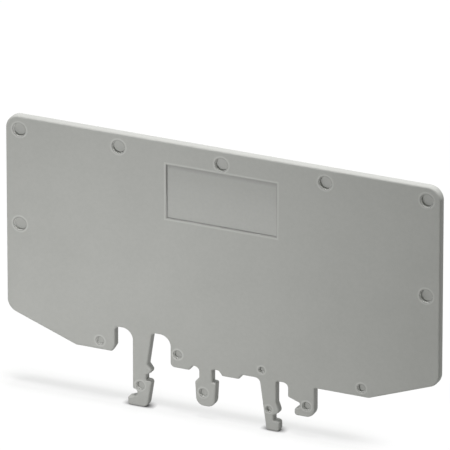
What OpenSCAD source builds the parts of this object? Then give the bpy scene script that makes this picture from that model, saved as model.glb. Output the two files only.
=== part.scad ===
// Partition plate for rail-mounted terminal blocks, moulded in one piece.
// Drawn in its fixed position: X runs along the plate, Z is up, and the marked face looks towards -Y.
// The origin lies over the middle of the rail, on the upper face of its flanges,
// halfway through the plate's thickness.

/* [Panel] */
// Length of the panel
panel_l = 98.8; // [92:0.2:110]
// Height of the panel from its lower edge to its top
panel_h = 50; // [40:1:65]
// Thickness of the whole plate
plate_t = 2; // [1.6:0.1:3]
// Radius of the four outer corners
corner_r = 3; // [1:0.5:6]
// Run of each sloping stretch of the lower edge
slope_run = 15.9; // [10:0.5:20]
// Rise of each sloping stretch of the lower edge
slope_rise = 5.85; // [3:0.25:9]
// Radius where a slope meets the straight lower edge
slope_r = 1.5; // [0.5:0.5:4]
// Height of the lower edge above the rail's flanges
edge_over_rail = 4; // [3:0.25:6]
// Distance of the panel's middle from the rail's middle
panel_shift = 0.25; // [0:0.05:1]

/* [Rail] */
// Width of the rail across its flanges
rail_w = 35; // [34:0.5:37]
// Thickness of a rail flange
flange_t = 1; // [0.8:0.1:1.5]
// Room for the flange in the height of a throat
flange_play = 0.2; // [0.1:0.05:0.5]
// Room for the rail in its width
rail_play = 0.1; // [0:0.05:0.4]

/* [Slots beside the spring leg] */
// Height of both slots above the panel's lower edge
slot_h = 5.85; // [4:0.25:9]
// Width of the slot on the outer side of the leg
outer_slot_w = 4; // [3:0.25:6]
// Width of the slot on the inner side of the leg, at its top
inner_slot_w = 4.15; // [4:0.05:5]
// Large radius that eases the slot into the part that bends
slot_big_r = 2.4; // [1.5:0.1:2.8]
// Small radius in the other upper corner of each slot
slot_small_r = 0.9; // [0.3:0.1:1.1]
// Bevel at the free lower corner beside the outer slot, along the edge
flap_bevel_w = 0.8; // [0.4:0.1:1.5]
// Bevel at the free lower corner beside the outer slot, up the slot
flap_bevel_h = 1.4; // [0.6:0.1:2]

/* [Grip of a spring leg] */
// Reach of the hook past the bottom of the throat
hook_reach = 1.3; // [1:0.05:1.8]
// Radius of the hook's nose
hook_r = 0.7; // [0.2:0.05:0.8]
// Reach of the snap tooth past the bottom of the throat
tooth_reach = 1.15; // [0.8:0.05:1.4]
// Rise of the tooth's lower face out of the throat
tooth_rise = 0.7; // [0.5:0.05:1.2]
// Height of the tooth's blunt nose
tooth_nose = 0.6; // [0.4:0.05:0.9]
// Radius at both ends of the tooth's nose
tooth_r = 0.5; // [0.4:0.05:0.55]

/* [Spring leg] */
// Depth of both legs below the rail's flanges
leg_depth = 7.45; // [6.5:0.05:9]
// Width of the leg where it joins the panel
leg_top_w = 4.55; // [4:0.05:5]
// Width of the leg at its waist, above the tooth
leg_waist_w = 3.45; // [3:0.05:3.9]
// Width of the leg at the throat
leg_throat_w = 3.15; // [2.7:0.05:3.6]
// Height of the waist above the rail's flanges
leg_waist_z = 2.4; // [2:0.1:3]
// Distance by which the hook's back narrows towards the toe
hook_taper = 1; // [0:0.05:1.4]
// Radius at the lower inner end of the leg
leg_end_r = 1.4; // [0.5:0.1:1.8]
// Depth below the flanges at which the screwdriver notch starts
notch_depth = 3.7; // [2.5:0.05:4]
// Height of the screwdriver notch
notch_h = 1.25; // [1.2:0.05:1.9]
// Depth of the screwdriver notch into the leg
notch_in = 1; // [0.8:0.05:1.4]
// Reach of the toe past the leg's outer edge
toe_reach = 1.1; // [0.4:0.05:1.5]
// Fall of the toe's upper face from the notch to its tip
toe_fall = 0.75; // [0.3:0.05:1]
// Radius at the toe's tip
toe_r = 0.7; // [0.3:0.05:0.8]

/* [Centre block and knob] */
// Depth of the centre block below the panel's lower edge
block_drop = 1.1; // [0.6:0.1:1.6]
// Length of the block's lower face on the spring leg's side
block_left_l = 4.3; // [3:0.1:4.8]
// Radius at the block's free lower corner
block_r = 1; // [0.4:0.1:1.4]
// Length of the block's lower face on the other side of the knob
block_right_l = 3.75; // [3:0.05:5]
// Run of the bevel at each end of the block's lower faces
block_bevel = 0.9; // [0.5:0.05:1.3]
// Distance of the knob's middle from the throat of the spring leg
knob_from_grip = 13.65; // [13.35:0.05:14.05]
// Width of the knob's neck
neck_w = 3.05; // [2.4:0.05:3.4]
// Width of the notch on each side of the neck
neck_notch_w = 1.4; // [1.1:0.05:1.8]
// Depth of the knob's shoulders below the block
shoulder_drop = 1.8; // [1.2:0.05:2.2]
// Fall of the sloping shoulder on the spring leg's side
shoulder_slope = 1.1; // [0.6:0.05:1.6]
// Greatest width of the knob, under its shoulders
knob_w = 4.9; // [4.2:0.05:5.6]
// Width of the knob where its round end starts
knob_end_w = 4.3; // [3.6:0.05:4.8]
// Depth of the knob's end below the rail's flanges
knob_depth = 4.7; // [4.2:0.05:6]

/* [Inner spring leg] */
// Distance of the inner throat from the throat of the fixed foot
inner_from_foot = 5.85; // [5.15:0.05:6.15]
// Depth of the inner throat below the rail's flanges
inner_throat_depth = 3.85; // [3.2:0.05:4]
// Width of the inner leg at the panel's lower edge
inner_top_w = 3.9; // [3.5:0.05:4.5]
// Distance by which the inner leg's outer edge leans in on its way down
inner_lean = 1.6; // [1:0.05:1.8]
// Distance of its straight edge past the bottom of its throat
inner_step = 0.6; // [0.3:0.05:0.8]
// Height of the flank that leads up from the inner tooth
inner_flank_h = 1.5; // [0.8:0.1:2]
// Radius where the inner leg springs from the panel
inner_root_r = 1.2; // [0.5:0.1:1.6]

/* [Fixed foot] */
// Width of the slot between the inner leg and the fixed foot
foot_slot_w = 2.6; // [2:0.05:3.2]
// Radius in the upper corner of that slot
foot_slot_r = 1.1; // [0.4:0.1:1.4]
// Depth of the foot's leading corner below the panel's lower edge
foot_lead_drop = 3.05; // [2:0.05:3.5]
// Width of solid foot behind its throat
foot_back_w = 3.5; // [2.8:0.1:4.5]
// Depth of the foot below the rail's flanges
foot_depth = 2.9; // [2.5:0.05:3.5]
// Reach of the lower jaw past the bottom of the throat
jaw_reach = 1.15; // [0.7:0.05:1.5]
// Fall of the lower jaw's face on its way out
jaw_fall = 0.8; // [0.4:0.05:1]
// Height of the throat's closed end
jaw_gap = 0.75; // [0.6:0.05:1]
// Radius at the foot's outer lower corner
foot_r = 2; // [1:0.1:2.4]

/* [Round marks] */
// Diameter of the large marks along the panel's edges
mark_d = 2.8; // [2:0.1:3.6]
// Distance of the outermost large marks from the ends, and of the top row from the top edge
mark_inset = 3.1; // [2.5:0.1:5]
// Distance between the large marks in the middle of the top row
mark_pitch = 23.5; // [15:0.5:30]
// Height of the lower pair of large marks above the panel's lower edge
low_mark_z = 25.5; // [15:0.5:35]
// Diameter of the small marks near the lower edge
small_mark_d = 1.7; // [1.4:0.1:2.4]
// Diameter of the smallest marks, on the inner leg
tiny_mark_d = 1.2; // [1:0.1:1.6]
// Height of the small marks above the panel's lower edge
small_mark_z = 2; // [1.8:0.1:3]
// Distance of the flap's small mark from the outer slot
flap_mark_in = 3.5; // [2:0.1:5]
// Distance of the block's small mark from the inner slot
block_mark_in = 1.7; // [1.2:0.1:4]
// Distance of the small mark by the right slope from that slope's start
slope_mark_in = 1.6; // [1:0.1:4]
// Distance of the spring leg's small mark from the leg's outer edge
leg_mark_in = 1.8; // [1.2:0.1:2.2]
// Depth of the marks on both legs below the rail's flanges
leg_mark_drop = 2.65; // [1.5:0.05:3]
// Distance of the knob's small mark from the knob's middle
knob_mark_x = 0.5; // [0:0.1:1]
// Depth of the knob's small mark below the rail's flanges
knob_mark_drop = 1.65; // [1:0.05:3]
// Distance of the fixed foot's small mark from the foot's throat
foot_mark_in = 1.65; // [1.2:0.05:2.5]
// Depth of the fixed foot's small mark below the rail's flanges
foot_mark_drop = 0.4; // [0:0.1:1.5]
// Distance of the upper smallest mark from the inner leg's root
root_mark_in = 0.55; // [0.5:0.05:2]
// Distance of the lower smallest mark from the inner leg's root
inner_mark_in = 2.2; // [1.8:0.05:2.6]
// Depth of all round marks
mark_depth = 0.7; // [0.3:0.05:1]

/* [Label recess] */
// Length of the recess for a label
label_l = 25; // [16:0.5:35]
// Height of the recess for a label
label_h = 12; // [8:0.5:15]
// Distance of the recess from the top edge of the panel
label_inset = 5.25; // [4.8:0.05:10]
// Depth of the recess
label_depth = 0.4; // [0.2:0.05:0.8]

/* [Hidden] */
$fn = 48;

// Small radii that only break a corner
sharp_r = 0.15;
soft_r = 0.4;

// Length by which a cutting shape runs past the face that it opens
over = 0.5;

// Each corner is filled or cut by a shape drawn past it, in shares of the corner's radius
past_corner = 1.3;

// The arc there is a hair wider than its radius, so that it crosses both edges cleanly
arc_share = 1.002;

// Heights above the rail's flanges
edge_z = edge_over_rail;
top_z = edge_z + panel_h;
slot_z = edge_z + slot_h;
block_z = edge_z - block_drop;
throat_h = flange_t + flange_play;

// Distances along the panel, from the rail's middle
left_x = -panel_shift - panel_l / 2;
right_x = -panel_shift + panel_l / 2;
grip_x = -(rail_w + rail_play) / 2;
foot_x = (rail_w + rail_play) / 2;
leg_x = grip_x - leg_throat_w;
flap_x = leg_x - outer_slot_w;
block_x = leg_x + leg_top_w + inner_slot_w;
knob_x = grip_x + knob_from_grip;
inner_throat_x = foot_x - inner_from_foot;
inner_edge_x = inner_throat_x + inner_step;
inner_root_x = inner_edge_x - inner_top_w;
foot_edge_x = inner_edge_x + foot_slot_w;
foot_end_x = foot_x + foot_back_w;

// Each of these lists gives a stretch of the outline as corners [x, z, radius], anticlockwise

// Left end of the panel, down to the outer slot
function left_end() = [
    [left_x, top_z, corner_r],
    [left_x, edge_z + slope_rise, corner_r],
    [left_x + slope_run, edge_z, slope_r],
    [flap_x - flap_bevel_w, edge_z, soft_r],
    [flap_x, edge_z + flap_bevel_h, soft_r],
    [flap_x, slot_z, slot_small_r]
];

// Hook, throat and snap tooth, with the throat's upper inner corner at x, z
function grip(x, z) = [
    [x + hook_reach, z - throat_h, hook_r],
    [x, z - throat_h, sharp_r],
    [x, z, soft_r],
    [x + tooth_reach, z + tooth_rise, tooth_r],
    [x + tooth_reach, z + tooth_rise + tooth_nose, tooth_r]
];

// Spring leg that snaps under the rail's flange, with a notch and a toe for a screwdriver
function spring_leg() = concat(
    [
        [leg_x, slot_z, slot_big_r],
        [leg_x, -notch_depth, soft_r],
        [leg_x + notch_in, -notch_depth, 1.5 * soft_r],
        [leg_x + notch_in, -notch_depth - notch_h, soft_r],
        [leg_x - toe_reach, -notch_depth - notch_h - toe_fall, soft_r],
        [leg_x - toe_reach, -leg_depth, toe_r],
        [grip_x + hook_reach - hook_taper, -leg_depth, leg_end_r]
    ],
    grip(grip_x, 0),
    [
        [leg_x + leg_waist_w, leg_waist_z, soft_r],
        [leg_x + leg_top_w, slot_z, slot_small_r]
    ]
);

// Centre block, with the knob that hangs from it by a neck
function centre_block() = concat(
    [
        [block_x, slot_z, slot_big_r],
        [block_x, block_z, block_r],
        [block_x + block_left_l, block_z, soft_r]
    ],
    neck_notch(block_x + block_left_l + block_bevel, knob_x - neck_w / 2),
    knob(),
    [
        [knob_x + neck_w / 2, edge_z, soft_r],
        [knob_x + neck_w / 2 + neck_notch_w, edge_z, soft_r],
        [knob_x + neck_w / 2 + neck_notch_w + block_bevel, block_z, soft_r],
        [knob_x + neck_w / 2 + neck_notch_w + block_bevel + block_right_l, block_z, soft_r],
        [knob_x + neck_w / 2 + neck_notch_w + 2 * block_bevel + block_right_l, edge_z, soft_r]
    ]
);

// Notch between the block and the knob's neck
function neck_notch(from_x, to_x) = [
    [from_x, edge_z, soft_r],
    [to_x, edge_z, block_r]
];

// Tapered knob with a full round end
function knob() = [
    [knob_x - neck_w / 2, block_z - shoulder_drop + shoulder_slope / 2, soft_r],
    [knob_x - knob_w / 2, block_z - shoulder_drop - shoulder_slope / 2, soft_r],
    [knob_x - knob_end_w / 2, -knob_depth, knob_end_w / 2 - 2 * sharp_r],
    [knob_x + knob_end_w / 2, -knob_depth, knob_end_w / 2 - 2 * sharp_r],
    [knob_x + knob_w / 2, block_z - shoulder_drop, soft_r],
    [knob_x + neck_w / 2, block_z - shoulder_drop, sharp_r]
];

// Inner spring leg, for a rail with lips at two heights
function inner_leg() = concat(
    [
        [inner_root_x, edge_z, inner_root_r],
        [inner_root_x + inner_lean, -leg_depth, toe_r],
        [inner_throat_x + hook_reach, -leg_depth, toe_r]
    ],
    grip(inner_throat_x, -inner_throat_depth),
    [
        [inner_edge_x, -inner_throat_depth + tooth_rise + tooth_nose + inner_flank_h, soft_r],
        [inner_edge_x, edge_z, soft_r]
    ]
);

// Foot that hooks under the other flange without bending
function fixed_foot() = [
    [foot_edge_x, edge_z, foot_slot_r],
    [foot_edge_x, edge_z - foot_lead_drop, soft_r],
    [foot_x, 0, sharp_r],
    [foot_x, -jaw_gap, sharp_r],
    [foot_x - jaw_reach, -jaw_gap - jaw_fall, soft_r],
    [foot_x - jaw_reach, -foot_depth, toe_r],
    [foot_end_x, -foot_depth, foot_r],
    [foot_end_x, edge_z, sharp_r]
];

// Right end of the panel
function right_end() = [
    [right_x - slope_run, edge_z, slope_r],
    [right_x, edge_z + slope_rise, corner_r],
    [right_x, top_z, corner_r]
];

// Flat profile of the plate
function outline() = concat(
    left_end(), spring_leg(), centre_block(), inner_leg(), fixed_foot(), right_end()
);

// Places of the large marks
large_marks = concat(
    [for (x = [left_x + mark_inset, right_x - mark_inset]) [x, edge_z + low_mark_z]],
    [for (x = [left_x + mark_inset, right_x - mark_inset]) [x, top_z - mark_inset]],
    [for (i = [-1:1]) [i * mark_pitch - panel_shift, top_z - mark_inset]]
);

// Places of the small marks: three by the lower edge, then on the leg, the knob and the foot
small_marks = [
    [flap_x - flap_mark_in, edge_z + small_mark_z],
    [block_x + block_mark_in, edge_z + small_mark_z],
    [right_x - slope_run - slope_mark_in, edge_z + small_mark_z],
    [leg_x + leg_mark_in, -leg_mark_drop],
    [knob_x - knob_mark_x, -knob_mark_drop],
    [foot_x + foot_mark_in, -foot_mark_drop]
];
tiny_marks = [
    [inner_root_x + root_mark_in, edge_z + small_mark_z],
    [inner_root_x + inner_mark_in, -leg_mark_drop]
];

// Unit vector from one point to another
function toward(a, b) = ([b.x, b.y] - [a.x, a.y]) / norm([b.x, b.y] - [a.x, a.y]);

// Positive where the outline turns left at q, which is an outer corner
function turn(p, q, s) = cross(toward(p, q), toward(q, s));

// Column between a sharp corner q and the arc that rounds it, drawn a little past the corner
module corner_web(p, q, s, h) {
    a = toward(q, p);
    b = toward(q, s);
    half_angle = acos(a * b) / 2;
    centre = [q.x, q.y] + (a + b) / norm(a + b) * q.z / sin(half_angle);
    reach = q.z / tan(half_angle);
    linear_extrude(h)
        difference() {
            polygon([
                centre,
                centre + past_corner * ([q.x, q.y] + a * reach - centre),
                centre + past_corner * ([q.x, q.y] - centre),
                centre + past_corner * ([q.x, q.y] + b * reach - centre)
            ]);
            translate(centre) circle(r = arc_share * q.z);
        }
}

// Plate of height h whose outline has a true arc at each of its corners [x, z, radius]
module rounded_plate(corners, h) {
    n = len(corners);
    difference() {
        union() {
            linear_extrude(h) polygon([for (c = corners) [c.x, c.y]]);
            for (i = [0:n - 1]) {
                p = corners[(i + n - 1) % n];
                s = corners[(i + 1) % n];
                if (turn(p, corners[i], s) < 0) corner_web(p, corners[i], s, h);
            }
        }
        for (i = [0:n - 1]) {
            p = corners[(i + n - 1) % n];
            s = corners[(i + 1) % n];
            if (turn(p, corners[i], s) > 0)
                translate([0, 0, -over]) corner_web(p, corners[i], s, h + 2 * over);
        }
    }
}

// Round recess in the marked face
module mark(d, place) {
    translate([place.x, -plate_t / 2 + mark_depth, place.y])
        rotate([90, 0, 0])
            cylinder(d = d, h = mark_depth + over);
}

// Bare recess for a label, in the marked face
module label_recess() {
    translate([-panel_shift - label_l / 2, -plate_t / 2 - over, top_z - label_inset - label_h])
        cube([label_l, over + label_depth, label_h]);
}

// The one moulded piece
module partition_plate() {
    color([0.65, 0.655, 0.635])
        difference() {
            translate([0, plate_t / 2, 0])
                rotate([90, 0, 0])
                    rounded_plate(outline(), plate_t);
            for (place = large_marks) mark(mark_d, place);
            for (place = small_marks) mark(small_mark_d, place);
            for (place = tiny_marks) mark(tiny_mark_d, place);
            label_recess();
        }
}

partition_plate();
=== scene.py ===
import math

import bmesh
import bpy
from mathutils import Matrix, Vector


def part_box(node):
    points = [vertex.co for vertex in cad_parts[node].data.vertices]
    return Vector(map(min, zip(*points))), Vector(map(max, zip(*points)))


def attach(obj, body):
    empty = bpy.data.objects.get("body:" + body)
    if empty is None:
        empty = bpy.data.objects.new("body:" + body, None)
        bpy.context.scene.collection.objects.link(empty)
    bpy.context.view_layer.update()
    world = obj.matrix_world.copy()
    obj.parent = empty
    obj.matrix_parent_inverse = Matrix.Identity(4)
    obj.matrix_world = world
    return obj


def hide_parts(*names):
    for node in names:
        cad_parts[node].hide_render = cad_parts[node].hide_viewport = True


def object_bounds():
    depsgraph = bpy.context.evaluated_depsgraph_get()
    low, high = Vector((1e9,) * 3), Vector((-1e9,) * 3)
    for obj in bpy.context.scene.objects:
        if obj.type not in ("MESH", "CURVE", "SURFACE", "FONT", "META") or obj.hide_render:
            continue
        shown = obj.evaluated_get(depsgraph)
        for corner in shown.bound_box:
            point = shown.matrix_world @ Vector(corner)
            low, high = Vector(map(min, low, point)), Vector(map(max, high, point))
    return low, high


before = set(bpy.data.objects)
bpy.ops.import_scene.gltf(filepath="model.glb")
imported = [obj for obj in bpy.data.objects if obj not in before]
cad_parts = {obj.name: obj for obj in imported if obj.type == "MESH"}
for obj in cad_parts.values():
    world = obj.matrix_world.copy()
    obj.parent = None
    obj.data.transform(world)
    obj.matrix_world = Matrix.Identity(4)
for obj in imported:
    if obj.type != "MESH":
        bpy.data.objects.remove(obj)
cad_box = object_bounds()

MM = 0.001

# Moulded edges: radius along the outline of both faces, and a share of it on the rims of the recesses
EDGE_RADIUS = 0.39 * MM
RECESS_EDGE_SHARE = 0.35
EDGE_STEPS = 3

# Vertices closer than this are one. A face is round if its rim varies less than this and has at
# least so many steps. A crease is any edge sharper than this.
WELD = 0.0005 * MM
ROUND_WITHIN = 0.02 * MM
ROUND_STEPS = 8
FLAT_ANGLE = math.radians(0.5)
CREASE_ANGLE = math.radians(40)

# Places of the materials on the plate
PLATE_SLOT, FLOOR_SLOT, WALL_SLOT = range(3)

# Moulded plastic: grain as scale per metre and depth, and roughness from its smoothest to its dullest
PLATE_GRAIN = (5000, 0.012 * MM)
PLATE_ROUGHNESS = (0.5, 0.6)
RECESS_GRAIN = (7000, 0.006 * MM)
RECESS_ROUGHNESS = (0.42, 0.5)
PLASTIC_IOR = 1.5
PLASTIC_SPECULAR = 0.35

# Flow clouds and speckle: scale per metre, and the span of the noise over which the tone changes
CLOUD_SCALE = 60
CLOUD_SPAN = (0.3, 0.7)
SPECKLE_SCALE = 1400
SPECKLE_SPAN = (0.35, 0.65)

# Witness line round each ejector mark and the label recess, faintly raised in the shading, and paler as
# a painted highlight
LINE_OFF = 0.37 * MM
LINE_WIDTH = 0.3 * MM
LINE_HEIGHT = 0.03 * MM

# Painted shade: a dark line along the rims themselves
RIM_SHADE_WIDTH = 0.24 * MM
RIM_SHADE_TONE = (0.68, 0.68, 0.68, 1)

# Painted shadow: a darker strip below the upper rim of the label recess
LEDGE_SHADOW_REACH = 1.2 * MM
LEDGE_SHADOW_DEPTH = 0.7

# Colours, as linear values: the plate, the recess floors (a little darker: painted shade), and the mark
# walls (far paler: painted light)
PLASTIC_PALE = (0.395, 0.396, 0.381, 1)
PLASTIC_DEEP = (0.366, 0.367, 0.352, 1)
RECESS_SHADED_PALE = (0.386, 0.387, 0.373, 1)
RECESS_SHADED_DEEP = (0.36, 0.361, 0.347, 1)
WALL_PAINTED_LIGHT_PALE = (0.69, 0.692, 0.67, 1)
WALL_PAINTED_LIGHT_DEEP = (0.64, 0.642, 0.62, 1)
LINE_PAINTED_HIGHLIGHT = (0.448, 0.45, 0.433, 1)
SPECKLE_DEEP = (0.97, 0.97, 0.97, 1)
FLOOR_BOUNCE = (0.32, 0.322, 0.315, 1)
ROOM_FILL = (0.96, 1.0, 0.94, 1)
WHITE = (1, 1, 1, 1)

# View of the photograph: the camera stands to the right and above, far off behind a long lens
CAMERA_AZIMUTH = 24.12
CAMERA_ELEVATION = 23.30
CAMERA_DISTANCE = 2082.4 * MM
CAMERA_LENS = 802
CAMERA_AIM = Vector((0.617, -1.0, 37.532)) * MM

# Studio: one lamp overhead, a small low one in front and a weak one behind, for the plain face
FILL_LEVEL = 0.25
TOP_PANEL_SIZE = 0.3
TOP_PANEL_AT = Vector((-0.02, -0.045, 1.5))
TOP_PANEL_WATTS = 30.3
FRONT_PANEL_SIZE = 0.06
FRONT_PANEL_AT = Vector((-0.042, -0.15, 0.0))
FRONT_PANEL_AIM = Vector((-0.037, 0, 0))
FRONT_PANEL_WATTS = 0.0895
FRONT_PANEL_SPREAD = math.radians(120)
BACK_PANEL_SIZE = 0.6
BACK_PANEL_AT = Vector((0, 0.9, 0.45))
BACK_PANEL_WATTS = 2.6

# Floor: its brightness in the open, the lamps' light on it, and how much of that light it shows
FLOOR_HALF = 0.6
FLOOR_OPEN = 1.016
FLOOR_LIGHT = 1.7
SHADOW_SHARE = 0.22

# Shadow on the floor: weaker right under the plate, deeper just behind it, gone towards the right
# end and far from the plate, and dark where a foot touches
UNDER_REACH = 2 * MM
UNDER_LESS = 0.5
BEHIND_AT = 3.4 * MM
BEHIND_REACH = 2.8 * MM
BEHIND_MORE = 0.5
FADE_FROM = 24 * MM
FADE_TO = 40 * MM
SHADOW_NEAR = 70 * MM
SHADOW_FAR = 200 * MM
CONTACT_REACH = 1.7 * MM
CONTACT_POWER = 2
CONTACT_BEHIND = -0.5 * MM
CONTACT_FRONT = -1.7 * MM


def node_of(tree, kind, **settings):
    """New shader node with its plain settings"""
    node = tree.nodes.new(kind)
    for name, value in settings.items():
        setattr(node, name, value)
    return node


def maths(tree, operation, *given):
    """Result of a maths node whose inputs are sockets or constants"""
    node = node_of(tree, "ShaderNodeMath", operation=operation)
    for place, term in enumerate(given):
        if isinstance(term, bpy.types.NodeSocket):
            tree.links.new(term, node.inputs[place])
        else:
            node.inputs[place].default_value = term
    return node.outputs["Value"]


def axes_of(tree, coordinates):
    """X, Y and Z of a vector, as the outputs of a node"""
    parts = node_of(tree, "ShaderNodeSeparateXYZ")
    tree.links.new(coordinates, parts.inputs["Vector"])
    return parts.outputs


def distance_from(tree, socket, place):
    """How far a value is from a place, either way"""
    return maths(tree, "ABSOLUTE", maths(tree, "SUBTRACT", socket, place))


def falling(tree, socket, start, end):
    """One before the start, nought past the end, with a smooth fall between"""
    fall = node_of(tree, "ShaderNodeMapRange", interpolation_type="SMOOTHSTEP")
    fall.inputs["From Min"].default_value = start
    fall.inputs["From Max"].default_value = end
    fall.inputs["To Min"].default_value = 1
    fall.inputs["To Max"].default_value = 0
    tree.links.new(socket, fall.inputs["Value"])
    return fall.outputs["Result"]


def noise(tree, coordinates, scale, detail, roughness=0.5):
    """Noise over the object's own coordinates, at a scale per metre"""
    texture = node_of(tree, "ShaderNodeTexNoise")
    texture.inputs["Scale"].default_value = scale
    texture.inputs["Detail"].default_value = detail
    texture.inputs["Roughness"].default_value = roughness
    tree.links.new(coordinates, texture.inputs["Vector"])
    return texture.outputs["Fac"]


def two_tone(tree, mask, span, deep, pale):
    """Colour that goes from deep to pale over a span of the mask"""
    ramp = node_of(tree, "ShaderNodeValToRGB")
    for stop, place, colour in zip(ramp.color_ramp.elements, span, (deep, pale)):
        stop.position = place
        stop.color = colour
    tree.links.new(mask, ramp.inputs["Fac"])
    return ramp.outputs["Color"]


def multiplied(tree, share, first, second):
    """First colour times the second one, as far as the share says"""
    mix = node_of(tree, "ShaderNodeMix", data_type="RGBA", blend_type="MULTIPLY")
    for name, given in (("Factor", share), ("A", first), ("B", second)):
        if isinstance(given, bpy.types.NodeSocket):
            tree.links.new(given, mix.inputs[name])
        else:
            mix.inputs[name].default_value = given
    return mix.outputs["Result"]


def raised(tree, height, distance, below=None):
    """Normal of a bump, on top of another one if there is one"""
    relief = node_of(tree, "ShaderNodeBump")
    relief.inputs["Strength"].default_value = 1
    relief.inputs["Distance"].default_value = distance
    tree.links.new(height, relief.inputs["Height"])
    if below:
        tree.links.new(below, relief.inputs["Normal"])
    return relief.outputs["Normal"]


def spark_grain_group():
    """Shared effect: the fine grain of a spark-eroded mould and the flow clouds of moulded plastic"""
    group = bpy.data.node_groups.new("spark_grain", "ShaderNodeTree")
    face = group.interface
    face.new_socket("Coordinates", in_out="INPUT", socket_type="NodeSocketVector")
    grain_scale = face.new_socket("Grain scale", in_out="INPUT", socket_type="NodeSocketFloat")
    grain_scale.default_value = PLATE_GRAIN[0]
    face.new_socket("Height", in_out="OUTPUT", socket_type="NodeSocketFloat")
    face.new_socket("Clouds", in_out="OUTPUT", socket_type="NodeSocketFloat")
    face.new_socket("Speckle", in_out="OUTPUT", socket_type="NodeSocketFloat")
    taken = node_of(group, "NodeGroupInput")
    given = node_of(group, "NodeGroupOutput")

    pits = node_of(group, "ShaderNodeTexNoise")
    pits.inputs["Detail"].default_value = 3
    group.links.new(taken.outputs["Coordinates"], pits.inputs["Vector"])
    group.links.new(taken.outputs["Grain scale"], pits.inputs["Scale"])
    group.links.new(pits.outputs["Fac"], given.inputs["Height"])

    clouds = noise(group, taken.outputs["Coordinates"], CLOUD_SCALE, detail=4, roughness=0.55)
    group.links.new(clouds, given.inputs["Clouds"])
    speckle = noise(group, taken.outputs["Coordinates"], SPECKLE_SCALE, detail=2)
    group.links.new(speckle, given.inputs["Speckle"])
    return group


def witness_line_and_shade_group(marks, recess, middle_y):
    """Shared effect: lines along the ejector marks (x, z, radius) and the recess (x, z, reaches), with
    painted highlight and shade
    """
    group = bpy.data.node_groups.new("witness_lines_and_shade", "ShaderNodeTree")
    face = group.interface
    face.new_socket("Coordinates", in_out="INPUT", socket_type="NodeSocketVector")
    face.new_socket("Line", in_out="OUTPUT", socket_type="NodeSocketFloat")
    face.new_socket("Painted shade", in_out="OUTPUT", socket_type="NodeSocketFloat")
    taken = node_of(group, "NodeGroupInput")
    given = node_of(group, "NodeGroupOutput")
    axes = axes_of(group, taken.outputs["Coordinates"])

    x, z, half_x, half_z = recess
    past_x = maths(group, "SUBTRACT", distance_from(group, axes["X"], x), half_x)
    past_z = maths(group, "SUBTRACT", distance_from(group, axes["Z"], z), half_z)
    past_rim = maths(group, "MAXIMUM", past_x, past_z)
    # Painted shadow: a darker strip inside the label recess, just below its upper rim
    below_top = maths(group, "SUBTRACT", z + half_z, axes["Z"])
    in_recess = maths(group, "LESS_THAN", past_rim, 0)
    shadow_strip = maths(group, "MULTIPLY", falling(group, below_top, 0, LEDGE_SHADOW_REACH), in_recess)
    ledge_shadow = maths(group, "MULTIPLY", shadow_strip, LEDGE_SHADOW_DEPTH)

    flat = node_of(group, "ShaderNodeVectorMath", operation="MULTIPLY")
    flat.inputs[1].default_value = (1, 0, 1)
    group.links.new(taken.outputs["Coordinates"], flat.inputs[0])
    for x, z, radius in marks:
        away = node_of(group, "ShaderNodeVectorMath", operation="DISTANCE")
        away.inputs[1].default_value = (x, 0, z)
        group.links.new(flat.outputs["Vector"], away.inputs[0])
        past_mark = maths(group, "SUBTRACT", away.outputs["Value"], radius)
        past_rim = maths(group, "MINIMUM", past_rim, past_mark)

    line = falling(group, distance_from(group, past_rim, LINE_OFF), 0, LINE_WIDTH)
    # Painted shade: a dark line centred on every rim
    rim = falling(group, distance_from(group, past_rim, 0), 0, RIM_SHADE_WIDTH)
    rim_and_ledge_shade = maths(group, "MAXIMUM", rim, ledge_shadow)
    marked_side = maths(group, "LESS_THAN", axes["Y"], middle_y)
    for name, mask in (("Line", line), ("Painted shade", rim_and_ledge_shade)):
        group.links.new(maths(group, "MULTIPLY", mask, marked_side), given.inputs[name])
    return group


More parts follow.
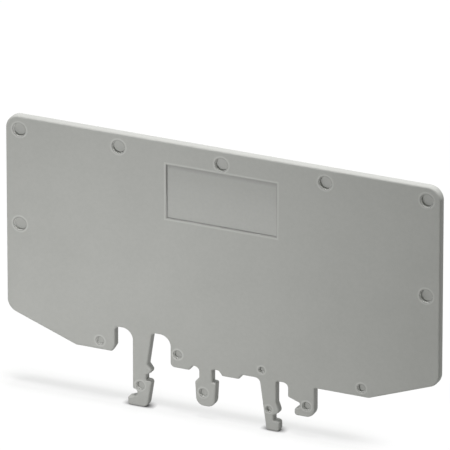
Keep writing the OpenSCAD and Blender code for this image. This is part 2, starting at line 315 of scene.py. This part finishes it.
def grey_plastic(name, colours, grain_group, grain, roughness, line_and_shade_group=None):
    """Matte light grey moulded plastic with the shared grain, clouds and speckle, and the line group's
    painted highlight and shade
    """
    material = bpy.data.materials.new(name)
    material.use_nodes = True
    tree = material.node_tree
    tree.nodes.clear()
    out = node_of(tree, "ShaderNodeOutputMaterial")
    skin = node_of(tree, "ShaderNodeBsdfPrincipled")
    skin.inputs["IOR"].default_value = PLASTIC_IOR
    skin.inputs["Specular IOR Level"].default_value = PLASTIC_SPECULAR
    tree.links.new(skin.outputs["BSDF"], out.inputs["Surface"])

    grain_scale, grain_depth = grain
    place = node_of(tree, "ShaderNodeTexCoord")
    effect = node_of(tree, "ShaderNodeGroup", node_tree=grain_group)
    effect.inputs["Grain scale"].default_value = grain_scale
    tree.links.new(place.outputs["Object"], effect.inputs["Coordinates"])

    clouded = two_tone(tree, effect.outputs["Clouds"], CLOUD_SPAN, *colours)
    specks = two_tone(tree, effect.outputs["Speckle"], SPECKLE_SPAN, SPECKLE_DEEP, WHITE)
    colour = multiplied(tree, 1, clouded, specks)
    line_normal = None
    if line_and_shade_group:
        line = node_of(tree, "ShaderNodeGroup", node_tree=line_and_shade_group)
        tree.links.new(place.outputs["Object"], line.inputs["Coordinates"])
        # Painted highlight: the witness line is made paler than the plate
        painted_highlight = node_of(tree, "ShaderNodeMix", data_type="RGBA")
        painted_highlight.inputs["B"].default_value = LINE_PAINTED_HIGHLIGHT
        tree.links.new(line.outputs["Line"], painted_highlight.inputs["Factor"])
        tree.links.new(colour, painted_highlight.inputs["A"])
        # Painted shade and shadow: the colour is darkened along the rims and below the recess's upper
        # rim
        colour = multiplied(tree, line.outputs["Painted shade"], painted_highlight.outputs["Result"], RIM_SHADE_TONE)
        line_normal = raised(tree, line.outputs["Line"], LINE_HEIGHT)
    tree.links.new(colour, skin.inputs["Base Color"])

    gloss = node_of(tree, "ShaderNodeMapRange")
    gloss.inputs["From Min"].default_value = CLOUD_SPAN[0]
    gloss.inputs["From Max"].default_value = CLOUD_SPAN[1]
    gloss.inputs["To Min"].default_value = roughness[0]
    gloss.inputs["To Max"].default_value = roughness[1]
    tree.links.new(effect.outputs["Clouds"], gloss.inputs["Value"])
    tree.links.new(gloss.outputs["Result"], skin.inputs["Roughness"])
    normal = raised(tree, effect.outputs["Height"], grain_depth, line_normal)
    tree.links.new(normal, skin.inputs["Normal"])
    return material


def is_inside(face, lowest, highest):
    """True where the whole face lies between the two sides of the plate"""
    return all(lowest.y + WELD < vert.co.y < highest.y - WELD for vert in face.verts)


def is_round(face):
    """True where the rim of the face is a circle"""
    middle = face.calc_center_bounds()
    reach = [(vert.co - middle).length for vert in face.verts]
    return len(reach) >= ROUND_STEPS and max(reach) - min(reach) < ROUND_WITHIN


def lies_at(edge, depth):
    """True where both ends of the edge lie at this depth through the plate"""
    return all(abs(vert.co.y - depth) < WELD for vert in edge.verts)


def reaches(face, depth):
    """True where the face touches this depth through the plate"""
    return any(abs(vert.co.y - depth) < WELD for vert in face.verts)


def merged_shape(mesh):
    """The solid's triangles as one closed shape of whole faces"""
    shape = bmesh.new()
    shape.from_mesh(mesh)
    bmesh.ops.remove_doubles(shape, verts=shape.verts, dist=WELD)
    bmesh.ops.dissolve_limit(shape, angle_limit=FLAT_ANGLE, verts=shape.verts, edges=shape.edges)
    return shape


def recess_floors(node):
    """The round recess floors of the solid as (x, z, radius), and the other one as (x, z, reaches)"""
    lowest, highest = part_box(node)
    shape = merged_shape(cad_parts[node].data)
    marks = []
    for floor in shape.faces:
        if not is_inside(floor, lowest, highest):
            continue
        middle = floor.calc_center_bounds()
        far = floor.verts[0].co - middle
        if is_round(floor):
            marks.append((middle.x, middle.z, far.length))
        else:
            recess = (middle.x, middle.z, abs(far.x), abs(far.z))
    shape.free()
    return marks, recess


def edge_share(edge, marked_y, plain_y):
    """Share of the edge radius that a crease gets: whole along the outline, finer on the recesses"""
    if len(edge.link_faces) != 2 or edge.calc_face_angle() < CREASE_ANGLE:
        return 0
    if lies_at(edge, plain_y):
        return 1
    if not lies_at(edge, marked_y):
        return 0
    if any(reaches(face, plain_y) for face in edge.link_faces):
        return 1
    return RECESS_EDGE_SHARE


def moulded_plate(node, skins):
    """The plate as it leaves its mould: a merged copy of the solid, with its edges rounded"""
    lowest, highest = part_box(node)
    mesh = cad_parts[node].data.copy()
    mesh.name = "moulded_plate"
    mesh.materials.clear()
    for skin in skins:
        mesh.materials.append(skin)
    shape = merged_shape(mesh)
    share = shape.edges.layers.float.new("bevel_weight_edge")
    for edge in shape.edges:
        edge[share] = edge_share(edge, lowest.y, highest.y)
    for face in shape.faces:
        face.smooth = True
        face.material_index = PLATE_SLOT
    for face in shape.faces:
        if not is_inside(face, lowest, highest):
            continue
        if is_round(face):
            for edge in face.edges:
                for wall in edge.link_faces:
                    wall.material_index = WALL_SLOT
        face.material_index = FLOOR_SLOT
    shape.to_mesh(mesh)
    shape.free()

    plate = bpy.data.objects.new("moulded_plate", mesh)
    bpy.context.scene.collection.objects.link(plate)
    edges = plate.modifiers.new("moulded_edges", "BEVEL")
    edges.limit_method = "WEIGHT"
    edges.width = EDGE_RADIUS
    edges.segments = EDGE_STEPS
    edges.profile = 0.5
    edges.material = -1
    edges.use_clamp_overlap = False
    edges.loop_slide = False
    shading = plate.modifiers.new("even_shading", "WEIGHTED_NORMAL")
    shading.keep_sharp = False
    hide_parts(node)
    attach(plate, "root")


def seen_ray(tree):
    """One for what the camera, a reflection or a clear thing sees, nought for what only gives light"""
    path = node_of(tree, "ShaderNodeLightPath")
    seen = maths(tree, "MAXIMUM", path.outputs["Is Camera Ray"], path.outputs["Is Glossy Ray"])
    return maths(tree, "MAXIMUM", seen, path.outputs["Is Transmission Ray"])


def contact_shade(tree, coordinates):
    """One on the open floor, and darker beside and behind a foot that touches it"""
    contact = node_of(tree, "ShaderNodeAmbientOcclusion")
    contact.inputs["Distance"].default_value = CONTACT_REACH
    in_open = maths(tree, "POWER", contact.outputs["AO"], CONTACT_POWER)
    hidden = maths(tree, "SUBTRACT", 1, in_open)
    behind = falling(tree, axes_of(tree, coordinates)["Y"], CONTACT_BEHIND, CONTACT_FRONT)
    return maths(tree, "SUBTRACT", 1, maths(tree, "MULTIPLY", hidden, behind))


def shadow_share(tree, coordinates):
    """How much of the floor's whiteness comes from the lamps, and so goes in a shadow"""
    axes = axes_of(tree, coordinates)
    under = falling(tree, distance_from(tree, axes["Y"], 0), 0, UNDER_REACH)
    behind = falling(tree, distance_from(tree, axes["Y"], BEHIND_AT), 0, BEHIND_REACH)
    less = maths(tree, "MULTIPLY", under, UNDER_LESS)
    more = maths(tree, "MULTIPLY", behind, BEHIND_MORE)
    level = maths(tree, "ADD", maths(tree, "SUBTRACT", more, less), 1)
    away = node_of(tree, "ShaderNodeVectorMath", operation="LENGTH")
    tree.links.new(coordinates, away.inputs[0])
    near = falling(tree, away.outputs["Value"], SHADOW_NEAR, SHADOW_FAR)
    kept = maths(tree, "MULTIPLY", near, falling(tree, axes["X"], FADE_FROM, FADE_TO))
    return maths(tree, "MULTIPLY", maths(tree, "MULTIPLY", level, kept), SHADOW_SHARE)


def white_floor_material():
    """White with a soft shadow to whatever sees it, plain grey as a giver of light, clear from below"""
    material = bpy.data.materials.new("floor_white")
    material.use_nodes = True
    tree = material.node_tree
    tree.nodes.clear()
    place = node_of(tree, "ShaderNodeTexCoord").outputs["Object"]
    open_share = contact_shade(tree, place)
    share = shadow_share(tree, place)
    seen = seen_ray(tree)

    matte = node_of(tree, "ShaderNodeBsdfDiffuse")
    colour = node_of(tree, "ShaderNodeMix", data_type="RGBA")
    colour.inputs["A"].default_value = FLOOR_BOUNCE
    tree.links.new(maths(tree, "MULTIPLY", share, open_share), colour.inputs["B"])
    tree.links.new(seen, colour.inputs["Factor"])
    tree.links.new(colour.outputs["Result"], matte.inputs["Color"])

    glow = node_of(tree, "ShaderNodeEmission")
    lamp_light = maths(tree, "MULTIPLY", share, FLOOR_LIGHT)
    own_light = maths(tree, "SUBTRACT", FLOOR_OPEN, lamp_light)
    seen_light = maths(tree, "MULTIPLY", own_light, seen)
    tree.links.new(maths(tree, "MULTIPLY", seen_light, open_share), glow.inputs["Strength"])

    lit = node_of(tree, "ShaderNodeAddShader")
    tree.links.new(matte.outputs["BSDF"], lit.inputs[0])
    tree.links.new(glow.outputs["Emission"], lit.inputs[1])
    clear = node_of(tree, "ShaderNodeBsdfTransparent")
    below = node_of(tree, "ShaderNodeNewGeometry")
    either = node_of(tree, "ShaderNodeMixShader")
    tree.links.new(below.outputs["Backfacing"], either.inputs["Fac"])
    tree.links.new(lit.outputs["Shader"], either.inputs[1])
    tree.links.new(clear.outputs["BSDF"], either.inputs[2])
    out = node_of(tree, "ShaderNodeOutputMaterial")
    tree.links.new(either.outputs["Shader"], out.inputs["Surface"])
    return material


def studio_floor(level):
    """Flat square under the plate"""
    shape = bmesh.new()
    bmesh.ops.create_grid(shape, x_segments=1, y_segments=1, size=FLOOR_HALF)
    bmesh.ops.translate(shape, verts=shape.verts, vec=(0, 0, level))
    mesh = bpy.data.meshes.new("studio_floor")
    shape.to_mesh(mesh)
    shape.free()
    mesh.materials.append(white_floor_material())
    floor = bpy.data.objects.new("studio_floor", mesh)
    bpy.context.scene.collection.objects.link(floor)


def white_room():
    """World that looks white and gives a soft, slightly green fill"""
    world = bpy.data.worlds.new("white_room")
    world.use_nodes = True
    tree = world.node_tree
    tree.nodes.clear()
    out = node_of(tree, "ShaderNodeOutputWorld")
    fill = node_of(tree, "ShaderNodeBackground")
    fill.inputs["Color"].default_value = ROOM_FILL
    fill.inputs["Strength"].default_value = FILL_LEVEL
    backdrop = node_of(tree, "ShaderNodeBackground")
    backdrop.inputs["Color"].default_value = WHITE
    backdrop.inputs["Strength"].default_value = 1
    either = node_of(tree, "ShaderNodeMixShader")
    tree.links.new(seen_ray(tree), either.inputs["Fac"])
    tree.links.new(fill.outputs["Background"], either.inputs[1])
    tree.links.new(backdrop.outputs["Background"], either.inputs[2])
    tree.links.new(either.outputs["Shader"], out.inputs["Surface"])
    bpy.context.scene.world = world


def soft_panel(name, place, aim, size, watts, spread=math.pi):
    """Square lamp that faces a point"""
    lamp = bpy.data.lights.new(name, "AREA")
    lamp.shape = "SQUARE"
    lamp.size = size
    lamp.energy = watts
    lamp.spread = spread
    panel = bpy.data.objects.new(name, lamp)
    panel.location = place
    panel.rotation_euler = (aim - place).to_track_quat("-Z", "Y").to_euler()
    bpy.context.scene.collection.objects.link(panel)


def long_lens_camera():
    """Camera at the photograph's angle, with no shift"""
    azimuth = math.radians(CAMERA_AZIMUTH)
    elevation = math.radians(CAMERA_ELEVATION)
    back = Vector((
        math.sin(azimuth) * math.cos(elevation),
        -math.cos(azimuth) * math.cos(elevation),
        math.sin(elevation),
    ))
    lens = bpy.data.cameras.new("long_lens")
    lens.lens = CAMERA_LENS
    camera = bpy.data.objects.new("long_lens", lens)
    camera.location = CAMERA_AIM + back * CAMERA_DISTANCE
    camera.rotation_euler = (-back).to_track_quat("-Z", "Y").to_euler()
    bpy.context.scene.collection.objects.link(camera)
    bpy.context.scene.camera = camera


middle = (cad_box[0] + cad_box[1]) / 2
spark_grain = spark_grain_group()
ejector_marks, label_recess = recess_floors("partition_plate")
witness_lines_and_shade = witness_line_and_shade_group(ejector_marks, label_recess, middle.y)
plate_skin = grey_plastic(
    "plate_skin", (PLASTIC_DEEP, PLASTIC_PALE), spark_grain, PLATE_GRAIN, PLATE_ROUGHNESS, witness_lines_and_shade
)
# Recess floors: a little darker than the plate, as painted shade in the recesses
recess_shaded_skin = grey_plastic(
    "recess_shaded_skin", (RECESS_SHADED_DEEP, RECESS_SHADED_PALE), spark_grain, RECESS_GRAIN, RECESS_ROUGHNESS, witness_lines_and_shade
)
# Walls of the round marks: far paler than the plate, as painted light that keeps them from reading as
# shaded
wall_painted_light_skin = grey_plastic(
    "wall_painted_light_skin", (WALL_PAINTED_LIGHT_DEEP, WALL_PAINTED_LIGHT_PALE), spark_grain, RECESS_GRAIN, RECESS_ROUGHNESS
)
moulded_plate("partition_plate", (plate_skin, recess_shaded_skin, wall_painted_light_skin))

studio_floor(cad_box[0].z)
white_room()
soft_panel("top_panel", TOP_PANEL_AT, middle, TOP_PANEL_SIZE, TOP_PANEL_WATTS)
soft_panel("back_panel", BACK_PANEL_AT, middle, BACK_PANEL_SIZE, BACK_PANEL_WATTS)
soft_panel(
    "front_panel",
    FRONT_PANEL_AT,
    FRONT_PANEL_AIM,
    FRONT_PANEL_SIZE,
    FRONT_PANEL_WATTS,
    FRONT_PANEL_SPREAD,
)
long_lens_camera()
bpy.context.scene.view_settings.view_transform = "Standard"
